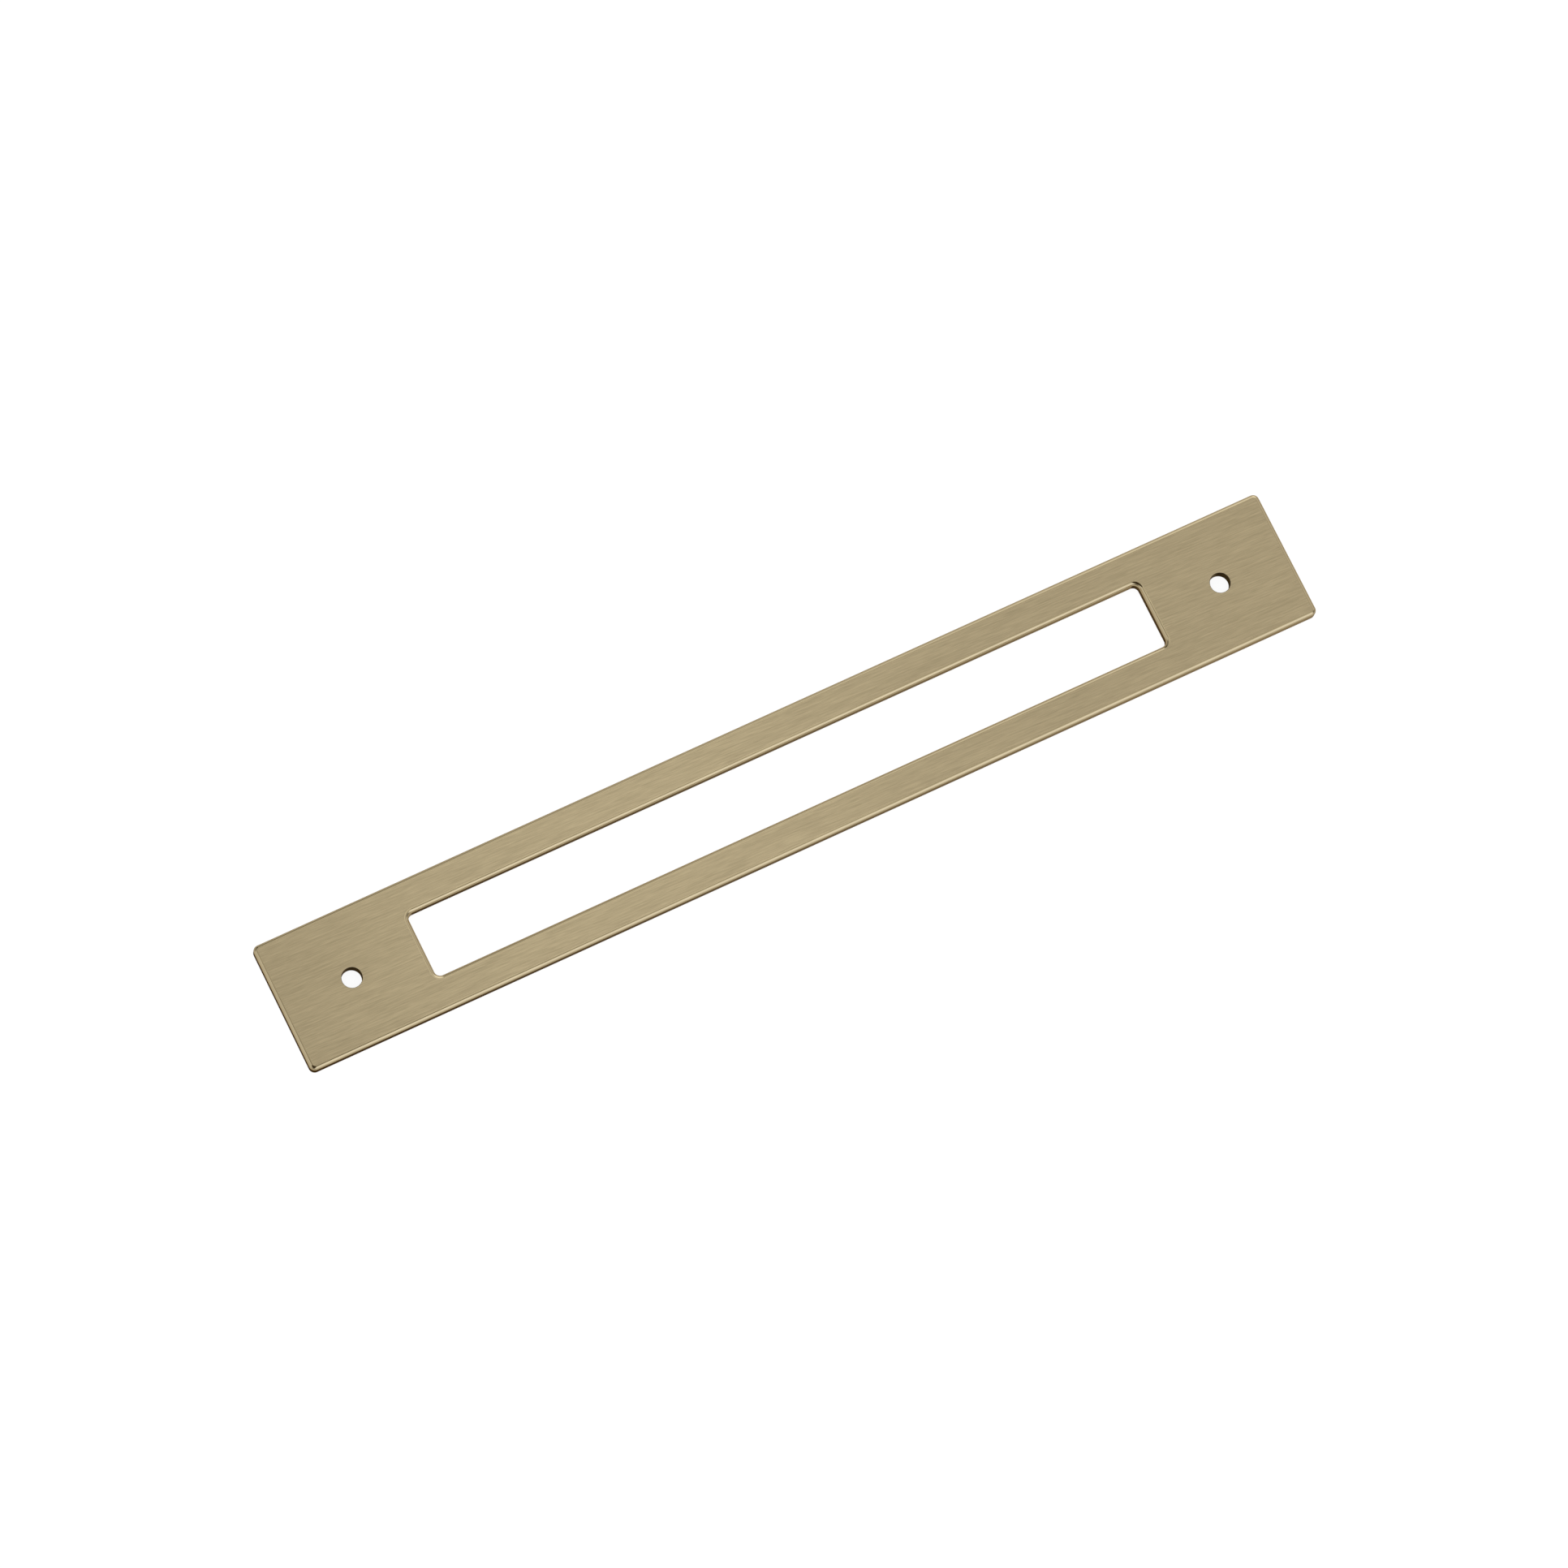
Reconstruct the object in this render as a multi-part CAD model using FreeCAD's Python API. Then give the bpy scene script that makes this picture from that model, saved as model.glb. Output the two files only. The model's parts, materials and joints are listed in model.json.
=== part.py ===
"""Backplate for a cabinet bar pull: one flat metal plate with a long rounded window and two
plain screw holes. The plate is a single piece; the pull's own machine screws clamp it to a
door or drawer front.

Frame: millimetres. The plate lies on its back face in the plane Z = 0, centred on the origin,
with its length along X, its width along Y and its brushed front face towards +Z.
"""

import FreeCAD, Part
import math
import os

# Driving dimensions.
screw_spacing = 224.0      # between the two screw hole centres
screw_hole_diameter = 4.8  # free clearance for the pull's M4 or number 8 machine screws
end_margin = 17.73         # from a screw hole's centre to the end of the plate
window_margin = 17.72      # from a screw hole's centre to the near end of the window
rail_width = 8.0           # each long rail beside the window
window_width = 16.15       # across the window, between the rails
plate_thickness = 3.05
outer_corner_radius = 1.45   # the plate's four corners, seen from the front
window_corner_radius = 1.45  # the window's four corners, seen from the front
front_edge_radius = 1.0    # rounding between the front face and every outer or window wall
back_edge_break = 0.15     # deburred edge round the back face
hole_edge_break = 0.08     # deburred rim at both ends of a screw hole

# Sizes that follow from them.
plate_length = screw_spacing + 2 * end_margin
plate_width = window_width + 2 * rail_width
window_length = screw_spacing - 2 * window_margin
screw_hole_radius = screw_hole_diameter / 2

# How far a cutter runs past the face that it leaves.
overshoot = 1.0

UP = FreeCAD.Vector(0, 0, 1)


def rounded_rectangle(length, width, corner_radius, z):
    """Closed wire of a rectangle centred on the Z axis, with four arcs for corners."""
    half_length = length / 2
    half_width = width / 2
    arc_half_diagonal = corner_radius * math.sqrt(0.5)
    edges = []
    # Each corner in turn, anticlockwise: its signs, and the directions in and out of its arc.
    corners = [(1, 1), (-1, 1), (-1, -1), (1, -1)]
    arcs = []
    for sign_x, sign_y in corners:
        centre_x = sign_x * (half_length - corner_radius)
        centre_y = sign_y * (half_width - corner_radius)
        on_end = FreeCAD.Vector(centre_x + sign_x * corner_radius, centre_y, z)
        on_side = FreeCAD.Vector(centre_x, centre_y + sign_y * corner_radius, z)
        middle = FreeCAD.Vector(
            centre_x + sign_x * arc_half_diagonal,
            centre_y + sign_y * arc_half_diagonal,
            z,
        )
        if sign_x * sign_y > 0:
            arcs.append((on_end, middle, on_side))
        else:
            arcs.append((on_side, middle, on_end))
    for index, (start, middle, end) in enumerate(arcs):
        edges.append(Part.Arc(start, middle, end).toShape())
        next_start = arcs[(index + 1) % len(arcs)][0]
        edges.append(Part.LineSegment(end, next_start).toShape())
    return Part.Wire(edges)


def prism(length, width, corner_radius, bottom, top):
    """Upright solid between two heights, with a rounded rectangle for its outline."""
    face = Part.Face(rounded_rectangle(length, width, corner_radius, bottom))
    return face.extrude(UP * (top - bottom))


def rim_edges(shape, z):
    """Edges that lie wholly at the height z."""
    found = []
    for edge in shape.Edges:
        box = edge.BoundBox
        if abs(box.ZMin - z) < 1e-6 and abs(box.ZMax - z) < 1e-6:
            found.append(edge)
    return found


def blank():
    """The plate before its screw holes: outline, window, and both rims finished."""
    outline = prism(plate_length, plate_width, outer_corner_radius, 0, plate_thickness)
    window = prism(
        window_length,
        window_width,
        window_corner_radius,
        -overshoot,
        plate_thickness + overshoot,
    )
    body = outline.cut(window)
    # One rolling radius runs round the outline and round the window, and meets the flat
    # front face along a line that keeps its distance from the wall.
    body = body.makeFillet(front_edge_radius, rim_edges(body, plate_thickness))
    return body.makeChamfer(back_edge_break, rim_edges(body, 0))


def screw_hole(x):
    """Cutter for one screw hole: a cylinder that flares by the edge break at both faces."""
    wide = screw_hole_radius + hole_edge_break
    outside = wide + overshoot
    profile = [
        (0, -overshoot),
        (outside, -overshoot),
        (wide, 0),
        (screw_hole_radius, hole_edge_break),
        (screw_hole_radius, plate_thickness - hole_edge_break),
        (wide, plate_thickness),
        (outside, plate_thickness + overshoot),
        (0, plate_thickness + overshoot),
        (0, -overshoot),
    ]
    half_section = Part.Face(Part.makePolygon([FreeCAD.Vector(r, 0, z) for r, z in profile]))
    cutter = half_section.revolve(FreeCAD.Vector(0, 0, 0), UP, 360)
    cutter.translate(FreeCAD.Vector(x, 0, 0))
    return cutter


def plate():
    """The finished backplate as one closed solid."""
    body = blank()
    for side in (-1, 1):
        body = body.cut(screw_hole(side * screw_spacing / 2))
    return body.Solids[0]


os.makedirs("parts", exist_ok=True)
backplate = plate()
backplate.exportStep("parts/backplate.step")
print(
    "backplate: %.2f x %.2f x %.2f mm, %.2f cm3, valid %s"
    % (
        backplate.BoundBox.XLength,
        backplate.BoundBox.YLength,
        backplate.BoundBox.ZLength,
        backplate.Volume / 1000,
        backplate.isValid(),
    )
)
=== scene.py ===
import json
import math

import bpy
from mathutils import Matrix, Vector
from mathutils.geometry import tessellate_polygon


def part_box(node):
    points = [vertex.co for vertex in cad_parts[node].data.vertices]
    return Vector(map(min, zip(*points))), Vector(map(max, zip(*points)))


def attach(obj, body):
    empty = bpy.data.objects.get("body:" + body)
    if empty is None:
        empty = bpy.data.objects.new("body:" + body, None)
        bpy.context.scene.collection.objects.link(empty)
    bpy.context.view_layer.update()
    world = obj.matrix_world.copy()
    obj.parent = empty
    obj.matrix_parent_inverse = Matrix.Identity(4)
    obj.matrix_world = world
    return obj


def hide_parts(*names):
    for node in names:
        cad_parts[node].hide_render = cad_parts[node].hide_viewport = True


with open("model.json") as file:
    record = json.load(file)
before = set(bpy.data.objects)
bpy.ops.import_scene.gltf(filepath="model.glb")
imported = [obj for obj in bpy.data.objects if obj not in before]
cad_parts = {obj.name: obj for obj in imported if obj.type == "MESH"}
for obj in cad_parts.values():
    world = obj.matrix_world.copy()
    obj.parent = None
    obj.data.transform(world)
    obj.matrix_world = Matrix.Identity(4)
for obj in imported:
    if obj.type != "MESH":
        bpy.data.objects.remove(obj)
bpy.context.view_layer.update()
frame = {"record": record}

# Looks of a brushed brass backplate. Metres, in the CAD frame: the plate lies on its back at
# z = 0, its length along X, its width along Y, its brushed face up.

MM = 0.001

# ---------------------------------------------------------------- sizes, as in the CAD part
RAIL_WIDTH = 8.0 * MM
WINDOW_MARGIN = 17.72 * MM  # from a screw hole's centre to the window
OUTER_CORNER, WINDOW_CORNER = 1.45 * MM, 1.45 * MM
FRONT_EDGE_RADIUS = 1.0 * MM
BACK_EDGE_BREAK = 0.15 * MM
HOLE_EDGE_BREAK = 0.08 * MM
CORNER_STEPS, EDGE_STEPS, HOLE_STEPS = 14, 14, 96
SLOPE = math.sqrt(0.5)  # the outward and the upward part of a normal at 45 degrees

screws = next(m for m in frame["record"]["mounts"] if m["name"] == "screw_holes")
HOLE_RADIUS = screws["dims"]["hole_r_mm"] * MM
HOLE_CENTRES = [sign * screws["dims"]["spacing_x_mm"] * MM / 2 for sign in (-1, 1)]

low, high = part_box("backplate")
LENGTH, WIDTH, THICKNESS = high.x - low.x, high.y - low.y, high.z - low.z
WINDOW_LENGTH = HOLE_CENTRES[1] - HOLE_CENTRES[0] - 2 * WINDOW_MARGIN
WINDOW_WIDTH = WIDTH - 2 * RAIL_WIDTH

# ---------------------------------------------------------------- camera
LENS_MM, SENSOR_MM = 204.97, 36
CAMERA_PLACE = Vector((-0.39240, -0.39714, 1.98439))
CAMERA_RIGHT = Vector((0.893745, -0.439843, 0.088082)).normalized()
CAMERA_BACK = Vector((-0.189702, -0.192668, 0.962752)).normalized()
NEAREST, FARTHEST = 0.05, 60

camera = bpy.data.objects.new("camera", bpy.data.cameras.new("camera"))
bpy.context.scene.collection.objects.link(camera)
bpy.context.scene.camera = camera
camera.data.sensor_width = SENSOR_MM
camera.data.lens = LENS_MM
camera.data.clip_start, camera.data.clip_end = NEAREST, FARTHEST
up = CAMERA_BACK.cross(CAMERA_RIGHT).normalized()
turn = Matrix((up.cross(CAMERA_BACK), up, CAMERA_BACK)).transposed().to_4x4()
camera.matrix_world = Matrix.Translation(CAMERA_PLACE) @ turn


# ---------------------------------------------------------------- the plate's mesh
class Surface:
    """Collects faces with exact normals, then makes the mesh."""

    def __init__(self):
        self.points, self.faces, self.normals, self.finishes = [], [], [], []

    def add(self, points, normals, finish):
        start = len(self.points)
        self.points += points
        self.faces.append(list(range(start, start + len(points))))
        self.normals += normals
        self.finishes.append(finish)

    def band(self, ring_a, ring_b, normals_a, normals_b, finish):
        """Quads between two closed rings that run anticlockwise, seen from where they face."""
        count = len(ring_a)
        for i in range(count):
            j = (i + 1) % count
            self.add(
                [ring_a[i], ring_a[j], ring_b[j], ring_b[i]],
                [normals_a[i], normals_a[j], normals_b[j], normals_b[i]],
                finish,
            )

    def cap(self, loops, normal, finish):
        """Flat face with holes: its outline first, then the holes' outlines."""
        flat = [p for loop in loops for p in loop]
        for corners in tessellate_polygon(loops):
            points = [flat[i] for i in corners]
            facing = (points[1] - points[0]).cross(points[2] - points[0])
            if facing.dot(normal) < 0:
                points.reverse()
            self.add(points, [normal] * 3, finish)

    def mesh(self, name, materials):
        mesh = bpy.data.meshes.new(name)
        mesh.from_pydata(self.points, [], self.faces)
        for material in materials:
            mesh.materials.append(material)
        mesh.polygons.foreach_set("material_index", self.finishes)
        mesh.polygons.foreach_set("use_smooth", [True] * len(self.faces))
        uv = mesh.uv_layers.new(name="lengthwise")
        for loop in mesh.loops:
            x, y, z = mesh.vertices[loop.vertex_index].co
            uv.data[loop.index].uv = ((x - low.x) / LENGTH, (y - low.y + z) / LENGTH)
        mesh.update()
        mesh.normals_split_custom_set(self.normals)
        return mesh


def rounded(length, width, corner, way):
    """Round a rounded rectangle: each point's arc centre, arc radius and outward direction.
    way is 1 anticlockwise and -1 clockwise."""
    found = []
    for quarter in range(4):
        sign_x, sign_y = [(1, 1), (-1, 1), (-1, -1), (1, -1)][quarter]
        centre = Vector((sign_x * (length / 2 - corner), sign_y * (width / 2 - corner), 0))
        for step in range(CORNER_STEPS + 1):
            angle = (quarter + step / CORNER_STEPS) * math.pi / 2
            found.append((centre, corner, Vector((math.cos(angle), math.sin(angle), 0))))
    return found[::way]


def circle(x, radius, way):
    found = []
    for step in range(HOLE_STEPS):
        angle = step / HOLE_STEPS * math.tau
        found.append((Vector((x, 0, 0)), radius, Vector((math.cos(angle), math.sin(angle), 0))))
    return found[::way]


def ring(path, inset, z, side):
    """The path moved by inset into the metal, at a height. side is 1 where the metal lies
    inside the path and -1 where it lies outside."""
    lift = Vector((0, 0, z))
    return [centre + out * (radius - side * inset) + lift for centre, radius, out in path]


def rim_profile():
    """From the back face up and over to the front face: inset, height, and the normal's
    outward and upward parts at the start and at the end of each run."""
    runs = [
        ((BACK_EDGE_BREAK, 0), (0, BACK_EDGE_BREAK), (SLOPE, -SLOPE), (SLOPE, -SLOPE)),
        ((0, BACK_EDGE_BREAK), (0, THICKNESS - FRONT_EDGE_RADIUS), (1, 0), (1, 0)),
    ]
    for step in range(EDGE_STEPS):
        ends = []
        for k in (step, step + 1):
            c, s = math.cos(k / EDGE_STEPS * math.pi / 2), math.sin(k / EDGE_STEPS * math.pi / 2)
            inset = FRONT_EDGE_RADIUS * (1 - c)
            ends.append(((inset, THICKNESS - FRONT_EDGE_RADIUS * (1 - s)), (c, s)))
        runs.append((ends[0][0], ends[1][0], ends[0][1], ends[1][1]))
    return runs


def bore_profile():
    """The same for a screw hole, whose two rims flare into the metal."""
    flare = HOLE_EDGE_BREAK
    top = THICKNESS
    return [
        ((flare, 0), (0, flare), (SLOPE, -SLOPE), (SLOPE, -SLOPE)),
        ((0, flare), (0, top - flare), (1, 0), (1, 0)),
        ((0, top - flare), (flare, top), (SLOPE, SLOPE), (SLOPE, SLOPE)),
    ]


FACE, RIM, BORE, BACK = range(4)


def add_rim(surface, path, profile, side, finish):
    for start, end, normal_start, normal_end in profile:
        rings, normals = [], []
        for (inset, z), (outward, upward) in ((start, normal_start), (end, normal_end)):
            rings.append(ring(path, inset, z, side))
            normals.append([side * outward * o + Vector((0, 0, upward)) for _, _, o in path])
        surface.band(rings[0], rings[1], normals[0], normals[1], finish)


def make_plate(materials):
    surface = Surface()
    outer = rounded(LENGTH, WIDTH, OUTER_CORNER, 1)
    window = rounded(WINDOW_LENGTH, WINDOW_WIDTH, WINDOW_CORNER, -1)
    bores = [circle(x, HOLE_RADIUS, -1) for x in HOLE_CENTRES]
    add_rim(surface, outer, rim_profile(), 1, RIM)
    add_rim(surface, window, rim_profile(), -1, RIM)
    for bore in bores:
        add_rim(surface, bore, bore_profile(), -1, BORE)
    for z, rim_inset, normal, finish in (
        (THICKNESS, FRONT_EDGE_RADIUS, Vector((0, 0, 1)), FACE),
        (0, BACK_EDGE_BREAK, Vector((0, 0, -1)), BACK),
    ):
        loops = [ring(outer, rim_inset, z, 1), ring(window, rim_inset, z, -1)]
        loops += [ring(bore, HOLE_EDGE_BREAK, z, -1) for bore in bores]
        surface.cap(loops, normal, finish)
    plate = bpy.data.objects.new("brushed_plate", surface.mesh("brushed_plate", materials))
    bpy.context.scene.collection.objects.link(plate)
    return plate


# ---------------------------------------------------------------- materials
class Nodes:
    """Short way to write a node tree."""

    def __init__(self, owner):
        owner.use_nodes = True
        self.tree = owner.node_tree
        self.tree.nodes.clear()

    def put(self, kind, inputs=(), **settings):
        node = self.tree.nodes.new(kind)
        for key, value in settings.items():
            setattr(node, key, value)
        for key, value in dict(inputs).items():
            if isinstance(value, bpy.types.NodeSocket):
                self.tree.links.new(value, node.inputs[key])
            else:
                node.inputs[key].default_value = value
        return node

    def math(self, operation, *values):
        return self.put("ShaderNodeMath", enumerate(values), operation=operation).outputs[0]

    def span(self, value, low_in, high_in, low_out=0.0, high_out=1.0, smooth=True):
        inputs = {0: value, 1: low_in, 2: high_in, 3: low_out, 4: high_out}
        kind = "SMOOTHSTEP" if smooth else "LINEAR"
        return self.put("ShaderNodeMapRange", inputs, interpolation_type=kind).outputs[0]

    def noise(self, vector, scale, detail=2.0, roughness=0.5):
        inputs = {"Vector": vector, "Scale": scale, "Detail": detail, "Roughness": roughness}
        return self.put("ShaderNodeTexNoise", inputs).outputs["Fac"]

    def mix(self, factor, a, b):
        node = self.put("ShaderNodeMix", data_type="RGBA")
        for key, value in ((0, factor), (6, a), (7, b)):
            if isinstance(value, bpy.types.NodeSocket):
                self.tree.links.new(value, node.inputs[key])
            else:
                node.inputs[key].default_value = value
        return node.outputs[2]


def metal(name, dark, light, grazing, pattern, roughness, bump, anisotropy=0.0):
    """A brass finish. pattern(nodes) gives a tone from 0 to 1, which goes from the dark to the
    light colour and from the rougher to the smoother finish, and a height from 0 to 1."""
    material = bpy.data.materials.new(name)
    n = Nodes(material)
    tone, height = pattern(n)
    inputs = {
        "Base Color": n.mix(tone, (*dark, 1), (*light, 1)),
        "Metallic": 1.0,
        "Specular Tint": (*grazing, 1),
        "Roughness": n.span(tone, 0, 1, max(roughness), min(roughness), smooth=False),
        "Normal": n.put(
            "ShaderNodeBump", {"Height": height, "Strength": 1.0, "Distance": bump}
        ).outputs[0],
    }
    if anisotropy:
        # A quarter turn: the highlight is wide across the grain.
        inputs["Anisotropic"] = anisotropy
        inputs["Anisotropic Rotation"] = 0.25
        inputs["Tangent"] = n.put(
            "ShaderNodeTangent", direction_type="UV_MAP", uv_map="lengthwise"
        ).outputs[0]
    shader = n.put("ShaderNodeBsdfPrincipled", inputs)
    n.put("ShaderNodeOutputMaterial", {"Surface": shader.outputs[0]})
    return material


GRAIN_SLANT = math.radians(2.0)
GRAIN_DEPTH = 2.0 * MM
FINE_SHARE = 0.87


def grain_space(n, long_mm, short_mm):
    """Object coordinates turned by the brushing's slight slant, one unit per grain cell."""
    place = n.put("ShaderNodeTexCoord").outputs["Object"]
    turned = n.put(
        "ShaderNodeMapping",
        {"Vector": place, "Rotation": (0, 0, GRAIN_SLANT)},
    ).outputs[0]
    return n.put(
        "ShaderNodeMapping",
        {"Vector": turned, "Scale": (1 / (long_mm * MM), 1 / (short_mm * MM), 1 / GRAIN_DEPTH)},
    ).outputs[0]


def brushed(n):
    """Straight grain from a brushing belt: fine streaks over broader, fainter ones."""
    fine = n.noise(grain_space(n, 5.0, 0.20), 1.0, detail=2.5, roughness=0.65)
    broad = n.noise(grain_space(n, 30.0, 2.2), 1.0, detail=1.0)
    fine_part = n.math("MULTIPLY", fine, FINE_SHARE)
    broad_part = n.math("MULTIPLY", broad, 1 - FINE_SHARE)
    both = n.math("ADD", fine_part, broad_part)
    return n.span(both, 0.25, 0.75, smooth=False), fine


def satin(n):
    """A rolled and buffed rim: hardly any pattern."""
    place = n.put("ShaderNodeTexCoord").outputs["Object"]
    cloud = n.noise(place, 220.0, detail=3.0)
    grit = n.noise(place, 5200.0, detail=2.0)
    return n.span(n.math("ADD", cloud, n.math("MULTIPLY", grit, 0.3)), 0.3, 1.0), grit


face_metal = metal(
    "brushed_brass_face",
    dark=(0.480, 0.387, 0.224), light=(0.720, 0.585, 0.348), grazing=(1.0, 1.0, 1.0),
    pattern=brushed, roughness=(0.30, 0.34), bump=0.0008 * MM, anisotropy=0.75,
)
rim_metal = metal(
    "satin_brass_rim",
    dark=(0.575, 0.466, 0.273), light=(0.625, 0.507, 0.297), grazing=(0.85, 0.70, 0.45),
    pattern=satin, roughness=(0.08, 0.13), bump=0.0005 * MM,
)
# Screw-hole walls: the base colour is painted shade, brass darkened far below its own colour to
# stand for the shade deep inside the holes.
bore_painted_shade_metal = metal(
    "bore_brass_painted_shade",
    dark=(0.110, 0.089, 0.055), light=(0.165, 0.134, 0.082), grazing=(0.70, 0.55, 0.35),
    pattern=satin, roughness=(0.30, 0.40), bump=0.002 * MM,
)
back_metal = metal(
    "plain_brass_back",
    dark=(0.480, 0.390, 0.230), light=(0.560, 0.455, 0.270), grazing=(1.0, 1.0, 1.0),
    pattern=satin, roughness=(0.36, 0.46), bump=0.002 * MM,
)

plate = make_plate([face_metal, rim_metal, bore_painted_shade_metal, back_metal])
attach(plate, "root")
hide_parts("backplate")

# ---------------------------------------------------------------- floor
FLOOR_REACH = 30.0
FLOOR_DROP = 0.02 * MM
FLOOR_GLOW = 0.90
FLOOR_GREY = (0.16, 0.16, 0.16, 1)
WHITE = (1, 1, 1, 1)

floor_mesh = bpy.data.meshes.new("floor")
floor_corners = [
    (x * FLOOR_REACH, y * FLOOR_REACH, 0) for x, y in ((-1, -1), (1, -1), (1, 1), (-1, 1))
]
floor_mesh.from_pydata(floor_corners, [], [(0, 1, 2, 3)])
floor = bpy.data.objects.new("floor", floor_mesh)
floor.location.z = -FLOOR_DROP
bpy.context.scene.collection.objects.link(floor)
floor_material = bpy.data.materials.new("pale_floor")
paper = Nodes(floor_material)
glow = paper.put("ShaderNodeEmission", {"Color": WHITE, "Strength": FLOOR_GLOW})
matte = paper.put("ShaderNodeBsdfDiffuse", {"Color": FLOOR_GREY})
both = paper.put("ShaderNodeAddShader", {0: glow.outputs[0], 1: matte.outputs[0]})
paper.put("ShaderNodeOutputMaterial", {"Surface": both.outputs[0]})
floor_mesh.materials.append(floor_material)
# The plate's reflections see the dim lower half of the studio instead of the paper.
floor.visible_glossy = False

# ---------------------------------------------------------------- studio
# Soft boxes and dark cards: the tilt from straight up, towards +X and then towards +Y, where
# each starts to fade and where it ends, in degrees, and its colour.
SOFT_BOXES = [
    (6, -59, 3, 39, (0.86, 0.92, 1.10, 1)),  # in front, the large one
    (-62, 8, 10, 42, (0.45, 0.47, 0.52, 1)),  # left
    (60, 8, 11, 24, (0.44, 0.44, 0.48, 1)),  # right
    (32, 59, 2, 36, (1.02, 1.06, 1.18, 1)),  # behind, to the right
]
DARK_CARDS = [
    (-1, 63, 8, 17, (0.20, 0.17, 0.10, 1)),  # behind
    (-22, -21, 28, 33, (0.11, 0.085, 0.05, 1)),  # round the camera
]
WALL, CEILING, HORIZON = (0.30, 0.30, 0.30, 1), (0.61, 0.61, 0.61, 1), (0.66, 0.65, 0.65, 1)
BELOW_LEFT, BELOW_RIGHT = (0.066, 0.040, 0.018, 1), (0.40, 0.39, 0.43, 1)
# The dim part lies straight down, leaning a little to the right.
BELOW_LEAN = (-0.17, 0, 0.985)
# Where one part of the room fades into the next, as a part of the direction.
WALL_TO_CEILING, HORIZON_TO_WALL = (0.55, 0.92), (-0.02, 0.12)
LEFT_TO_RIGHT, BELOW_TO_ROOM = (0.11, 0.28), (-0.97, -0.50)

world = bpy.data.worlds.new("studio")
bpy.context.scene.world = world
w = Nodes(world)
direction = w.put("ShaderNodeTexCoord").outputs["Generated"]
d_x, d_y, d_z = w.put("ShaderNodeSeparateXYZ", {0: direction}).outputs


def along(axis):
    """How far the direction points along an axis."""
    inputs = {0: direction, 1: axis}
    return w.put("ShaderNodeVectorMath", inputs, operation="DOT_PRODUCT").outputs["Value"]


def lobe(tilt_x, tilt_y, inner, outer):
    """1 within inner degrees of a direction, falling to 0 at outer degrees. The direction is
    straight up, tilted by degrees towards +X and then +Y."""
    ax, ay = math.radians(tilt_x), math.radians(tilt_y)
    axis = Vector((math.sin(ax), math.cos(ax) * math.sin(ay), math.cos(ax) * math.cos(ay)))
    return w.span(along(axis), math.cos(math.radians(outer)), math.cos(math.radians(inner)))


def place(light, blend, tilt_x, tilt_y, inner, outer, colour):
    """Add a soft box to the light, or multiply the light by a dark card."""
    inputs = {0: lobe(tilt_x, tilt_y, inner, outer), 6: light, 7: colour}
    return w.put("ShaderNodeMix", inputs, data_type="RGBA", blend_type=blend).outputs[2]


# A pale room, and under the plate a dim brown that is lighter to the right.
walls = w.mix(w.span(d_z, *WALL_TO_CEILING), WALL, CEILING)
room = w.mix(w.span(d_z, *HORIZON_TO_WALL), HORIZON, walls)
for soft_box in SOFT_BOXES:
    room = place(room, "ADD", *soft_box)
for card in DARK_CARDS:
    room = place(room, "MULTIPLY", *card)
below = w.mix(w.span(d_x, *LEFT_TO_RIGHT), BELOW_LEFT, BELOW_RIGHT)
studio = w.mix(w.span(along(BELOW_LEAN), *BELOW_TO_ROOM), below, room)
# The camera sees white behind the floor, and matte surfaces are lit by even white light.
path = w.put("ShaderNodeLightPath").outputs
plain = w.math("MAXIMUM", path["Is Camera Ray"], path["Is Diffuse Ray"])
background = w.put("ShaderNodeBackground", {"Color": w.mix(plain, studio, WHITE)})
w.put("ShaderNodeOutputWorld", {"Surface": background.outputs[0]})

# One more soft box close above the plate, which brightens the brushed face left of its middle.
lamp_data = bpy.data.lights.new("soft_box", "AREA")
lamp_data.shape = "RECTANGLE"
lamp_data.size, lamp_data.size_y = 0.163, 0.25
lamp_data.energy = 0.0410
lamp_data.color = (1.0, 1.056, 1.124)
lamp = bpy.data.objects.new("soft_box", lamp_data)
lamp.location = (0.049, 0.110, 0.553)
bpy.context.scene.collection.objects.link(lamp)

bpy.context.scene.view_settings.view_transform = "Standard"
